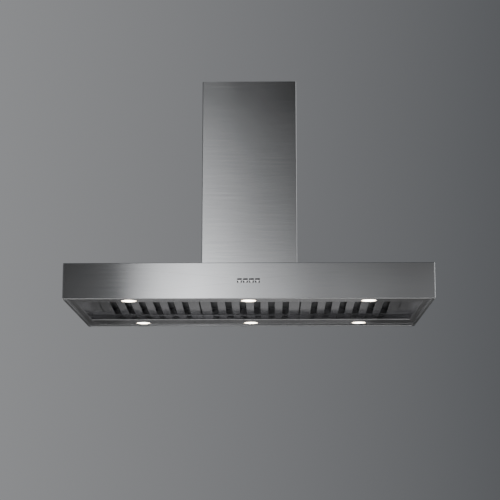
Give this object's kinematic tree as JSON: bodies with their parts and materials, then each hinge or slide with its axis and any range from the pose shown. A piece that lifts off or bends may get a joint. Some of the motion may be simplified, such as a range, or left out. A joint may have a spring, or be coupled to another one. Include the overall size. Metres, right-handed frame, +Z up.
{
  "type": "island range hood",
  "caption": "Flat rectangular brushed-steel canopy with baffle filters, spots and push-buttons, hung from the ceiling by a square telescopic chimney.",
  "frame": {"origin": "centre of the ceiling plate's top face, on the axis of the chimney; the hood hangs below z = 0", "axes": "+Z up to the ceiling, +X along the canopy's length to the right seen from the buttons' side, +Y to the rear, away from the buttons"},
  "size_m": [1.2, 0.65, 0.781],
  "materials": {
    "brushed_steel_skin": "horizontally brushed",
    "brushed_steel_pan": "brushed left to right",
    "brushed_steel_filter": "brushed front to back",
    "button_steel": "polished",
    "spot_aluminium": "satin",
    "frosted_glass": "frosted, lit warm white",
    "black_plastic": "fine texture",
    "grey_plastic": "moulded",
    "circuit_board": "solder resist",
    "motor_enamel": "baked enamel",
    "zinc_plate": "zinc plated",
    "galvanised_steel": "galvanised"
  },
  "bodies": {
    "ceiling_mount": {"ceiling_plate": "galvanised_steel", "upper_uprights": "galvanised_steel", "upper_chimney": "brushed_steel_skin"},
    "canopy": {"base_ring": "galvanised_steel", "blower_housing": "galvanised_steel", "canopy_deck": "brushed_steel_skin", "canopy_rim": "brushed_steel_skin", "chimney_clips": "galvanised_steel", "control_box": "black_plastic", "damper_pin_saddles": "black_plastic", "damper_pins": "zinc_plate", "fan_box": "galvanised_steel", "fan_motor": "motor_enamel", "front_light_pan": "brushed_steel_pan", "height_lock_screws": "zinc_plate", "led_driver": "grey_plastic", "left_side_pan": "brushed_steel_pan", "lower_chimney": "brushed_steel_skin", "lower_uprights": "galvanised_steel", "mains_terminal_box": "black_plastic", "motor_bracket": "galvanised_steel", "outlet_spigot": "black_plastic", "rear_light_pan": "brushed_steel_pan", "right_side_pan": "brushed_steel_pan", "spot_body_front_centre": "spot_aluminium", "spot_body_front_left": "spot_aluminium", "spot_body_front_right": "spot_aluminium", "spot_body_rear_centre": "spot_aluminium", "spot_body_rear_left": "spot_aluminium", "spot_body_rear_right": "spot_aluminium", "spot_lens_front_centre": "frosted_glass", "spot_lens_front_left": "frosted_glass", "spot_lens_front_right": "frosted_glass", "spot_lens_rear_centre": "frosted_glass", "spot_lens_rear_left": "frosted_glass", "spot_lens_rear_right": "frosted_glass", "switch_board": "circuit_board", "switch_housing": "black_plastic"},
    "filter_left": {"filter_frame_left": "brushed_steel_filter", "filter_lower_baffles_left": "brushed_steel_filter", "filter_upper_baffles_left": "brushed_steel_filter"},
    "latch_left": {"filter_latch_left": "brushed_steel_filter"},
    "filter_centre": {"filter_frame_centre": "brushed_steel_filter", "filter_lower_baffles_centre": "brushed_steel_filter", "filter_upper_baffles_centre": "brushed_steel_filter"},
    "latch_centre": {"filter_latch_centre": "brushed_steel_filter"},
    "filter_right": {"filter_frame_right": "brushed_steel_filter", "filter_lower_baffles_right": "brushed_steel_filter", "filter_upper_baffles_right": "brushed_steel_filter"},
    "latch_right": {"filter_latch_right": "brushed_steel_filter"},
    "light_button": {"light_button": "button_steel"},
    "low_speed_button": {"low_speed_button": "button_steel"},
    "high_speed_button": {"high_speed_button": "button_steel"},
    "stop_button": {"stop_button": "button_steel"},
    "fan_wheel": {"impeller": "grey_plastic"},
    "flap_left": {"damper_flap_left": "black_plastic"},
    "flap_right": {"damper_flap_right": "black_plastic"}
  },
  "joints": [
    {"name": "height_adjust", "type": "slide", "parent": "ceiling_mount", "child": "canopy", "axis": [0, 0, -1], "range_m": [0, 0.25]},
    {"name": "filter_left_drop", "type": "hinge", "parent": "canopy", "child": "filter_left", "pos_m": [-0.347, 0.17021, -0.75621], "axis": [1, 0, 0], "range_deg": [0, 75]},
    {"name": "latch_left_slide", "type": "slide", "parent": "filter_left", "child": "latch_left", "axis": [0, 0.9976, -0.0687], "range_m": [0, 0.008], "stiffness_N_per_m": 250},
    {"name": "filter_centre_drop", "type": "hinge", "parent": "canopy", "child": "filter_centre", "pos_m": [0, 0.17021, -0.75621], "axis": [1, 0, 0], "range_deg": [0, 75]},
    {"name": "latch_centre_slide", "type": "slide", "parent": "filter_centre", "child": "latch_centre", "axis": [0, 0.9976, -0.0687], "range_m": [0, 0.008], "stiffness_N_per_m": 250},
    {"name": "filter_right_drop", "type": "hinge", "parent": "canopy", "child": "filter_right", "pos_m": [0.347, 0.17021, -0.75621], "axis": [1, 0, 0], "range_deg": [0, 75]},
    {"name": "latch_right_slide", "type": "slide", "parent": "filter_right", "child": "latch_right", "axis": [0, 0.9976, -0.0687], "range_m": [0, 0.008], "stiffness_N_per_m": 250},
    {"name": "light_button_press", "type": "slide", "parent": "canopy", "child": "light_button", "axis": [0, 1, 0], "range_m": [0, 0.0025], "stiffness_N_per_m": 600},
    {"name": "low_speed_button_press", "type": "slide", "parent": "canopy", "child": "low_speed_button", "axis": [0, 1, 0], "range_m": [0, 0.0025], "stiffness_N_per_m": 600},
    {"name": "high_speed_button_press", "type": "slide", "parent": "canopy", "child": "high_speed_button", "axis": [0, 1, 0], "range_m": [0, 0.0025], "stiffness_N_per_m": 600},
    {"name": "stop_button_press", "type": "slide", "parent": "canopy", "child": "stop_button", "axis": [0, 1, 0], "range_m": [0, 0.0025], "stiffness_N_per_m": 600},
    {"name": "fan_spin", "type": "hinge", "parent": "canopy", "child": "fan_wheel", "pos_m": [-0.032, 0, -0.494], "axis": [0, 1, 0], "continuous": true},
    {"name": "flap_left_swing", "type": "hinge", "parent": "canopy", "child": "flap_left", "pos_m": [-0.0045, 0, -0.355], "axis": [0, 1, 0], "range_deg": [0, 75]},
    {"name": "flap_right_swing", "type": "hinge", "parent": "canopy", "child": "flap_right", "pos_m": [0.0045, 0, -0.355], "axis": [0, -1, 0], "range_deg": [0, 75]}
  ]
}
